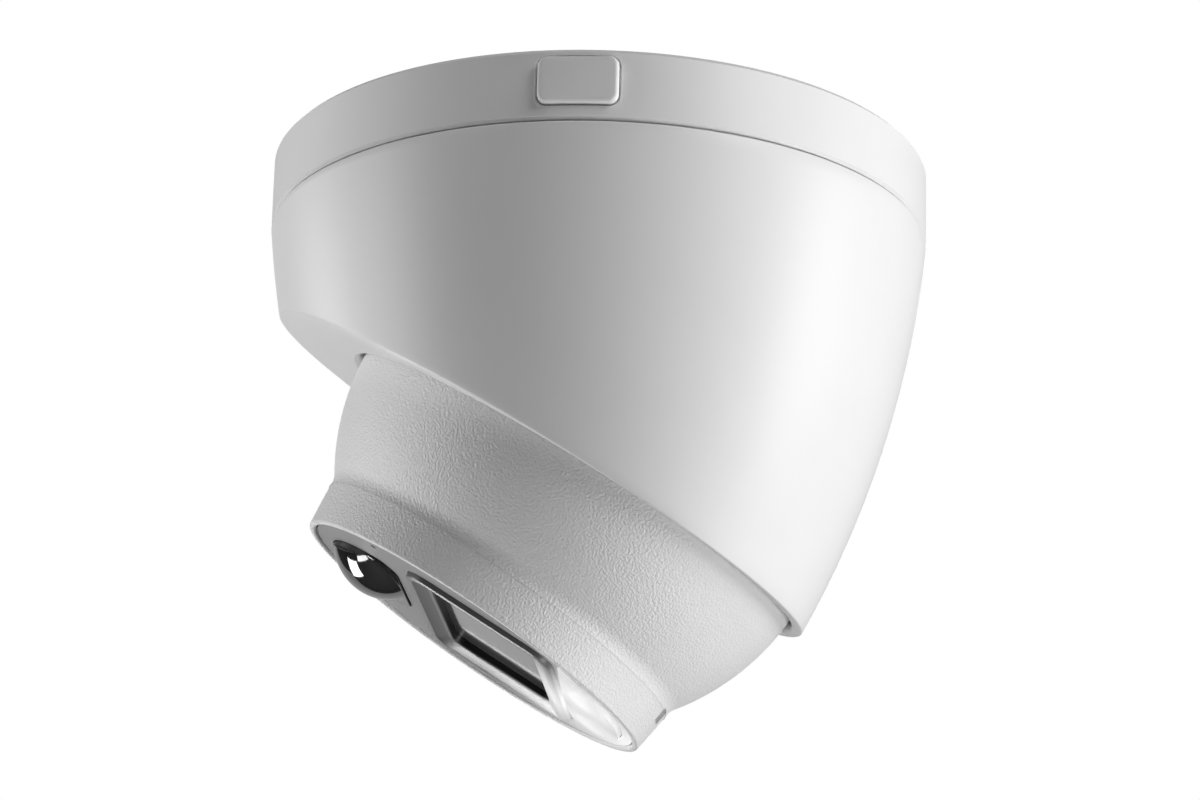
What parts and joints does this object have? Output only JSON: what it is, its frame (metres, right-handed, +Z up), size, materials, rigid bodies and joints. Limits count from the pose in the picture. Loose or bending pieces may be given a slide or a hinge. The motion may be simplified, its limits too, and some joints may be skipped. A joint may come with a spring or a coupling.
{
  "type": "turret dome security camera",
  "caption": "Ceiling turret (eyeball) security camera: base ring, turning cover with an oblique face, and a ball head that tilts and rolls.",
  "frame": {"origin": "centre of the ceiling face of the base", "axes": "+Z up into the ceiling, the camera hangs in -Z; the cut face of the cover and the camera head look towards -Y and down; +X to the side of the cable outlet plug"},
  "size_m": [0.1237, 0.1224, 0.1098],
  "materials": {
    "white_shell": "satin white powder-coated shell",
    "white_textured": "fine leather-like moulded texture",
    "face_grey": "matte mid-grey plastic",
    "bezel_grey": "dark satin plastic",
    "black_gloss": "polished infrared-pass plastic",
    "black_matte": "matte black plastic",
    "window_glass": "flat polished glass",
    "lens_glass": "coated lens glass",
    "light_diffuser": "milky light cover",
    "led_yellow": "phosphor on a white chip",
    "reflector_white": "bright white reflector",
    "rubber_black": "soft rubber",
    "rubber_grey": "foam rubber",
    "steel_bright": "zinc-plated steel",
    "aluminium_plain": "plain sheet",
    "board_green": "solder-masked circuit board",
    "chip_black": "moulded chip package",
    "ivory_plastic": "natural nylon",
    "pad_blue": "soft thermal pad",
    "brass_plain": "turned brass"
  },
  "bodies": {
    "base": {"mount_base": "white_shell", "base_gasket": "rubber_grey", "cable_grommet": "rubber_black", "retaining_ring": "ivory_plastic", "ring_screws": "steel_bright", "friction_pads": "ivory_plastic", "locking_screw": "steel_bright"},
    "cover": {"turret_cover": "white_shell"},
    "yoke": {"tilt_yoke": "steel_bright", "pivot_pins": "steel_bright", "roll_washer": "ivory_plastic"},
    "head": {"ball_housing": "white_textured", "rear_cap": "white_textured", "housing_seal": "rubber_grey", "housing_screws": "steel_bright", "roll_pivot_screw": "steel_bright", "cable_seal": "rubber_black", "face_plate": "face_grey", "window_frame": "bezel_grey", "window_glass": "window_glass", "window_gasket": "rubber_black", "lens_barrel": "black_matte", "front_lens": "lens_glass", "lens_holder": "black_matte", "light_shield": "rubber_black", "image_sensor": "chip_black", "sensor_board": "board_green", "infrared_board": "board_green", "infrared_leds": "lens_glass", "motion_lens": "black_gloss", "motion_sensor": "steel_bright", "motion_board": "board_green", "light_cover": "light_diffuser", "warning_leds": "led_yellow", "light_reflectors": "reflector_white", "light_board": "board_green", "heat_spreader": "aluminium_plain", "board_standoffs": "brass_plain", "board_screws": "steel_bright", "main_board": "board_green", "processor": "chip_black", "thermal_pad": "pad_blue", "card_socket": "steel_bright", "board_connectors": "ivory_plastic", "speaker": "black_matte", "microphone": "steel_bright"},
    "outlet_plug": {"cable_outlet_plug": "white_shell"}
  },
  "joints": [
    {"name": "cover_pan", "type": "hinge", "parent": "base", "child": "cover", "pos_m": [0, 0, -0.0139], "axis": [0, 0, 1], "range_deg": [-180, 180]},
    {"name": "head_tilt", "type": "hinge", "parent": "cover", "child": "yoke", "pos_m": [-0.00016, -0.00129, -0.0591], "axis": [0.9925, -0.1219, 0], "range_deg": [-27, 27]},
    {"name": "head_roll", "type": "hinge", "parent": "yoke", "child": "head", "pos_m": [-0.00016, -0.00129, -0.0591], "axis": [0, -0.5446, -0.8387], "range_deg": [-180, 180]},
    {"name": "plug_pull", "type": "slide", "parent": "base", "child": "outlet_plug", "axis": [0.9962, 0.0872, 0], "range_m": [0, 0.03]}
  ]
}
